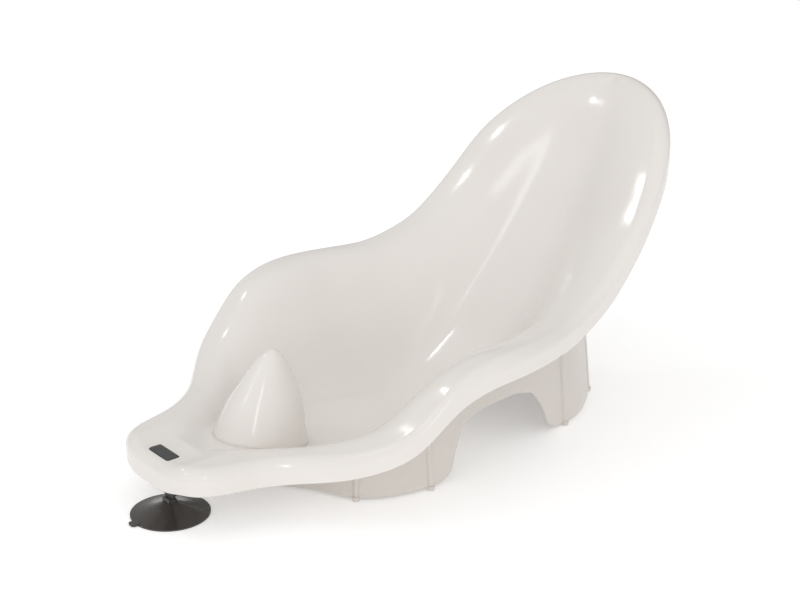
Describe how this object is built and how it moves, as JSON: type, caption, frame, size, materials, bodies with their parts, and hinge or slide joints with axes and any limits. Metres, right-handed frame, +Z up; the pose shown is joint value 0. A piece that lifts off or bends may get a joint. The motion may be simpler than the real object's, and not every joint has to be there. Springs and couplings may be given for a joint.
{
  "type": "baby bath support",
  "caption": "Reclining moulded bath seat for a baby, with a rolled rim and a centre pommel, on a skirted arched stand, held by a suction cup on a lift-out hanger under its foot end.",
  "frame": {"origin": "on the floor, under the middle of the object's overall box", "axes": "+X from the foot end to the head end, +Y to the seated child's left, +Z up"},
  "size_m": [0.5821, 0.35, 0.3131],
  "materials": {
    "seat_plastic": "gloss",
    "stand_plastic": "satin gloss",
    "hanger_plastic": "matt",
    "cup_rubber": "smooth",
    "screw_steel": "zinc plated"
  },
  "bodies": {
    "support": {"seat_shell": "seat_plastic", "stand": "stand_plastic", "stand_screws": "screw_steel"},
    "hanger": {"cup_hanger": "hanger_plastic"},
    "cup": {"suction_cup": "cup_rubber"}
  },
  "joints": [
    {"name": "hanger_lift", "type": "slide", "parent": "support", "child": "hanger", "axis": [0, 0, 1], "range_m": [0, 0.02]},
    {"name": "cup_tilt", "type": "hinge", "parent": "hanger", "child": "cup", "pos_m": [-0.2515, 0, 0.012], "axis": [0, 1, 0], "range_deg": [-10, 10]}
  ]
}
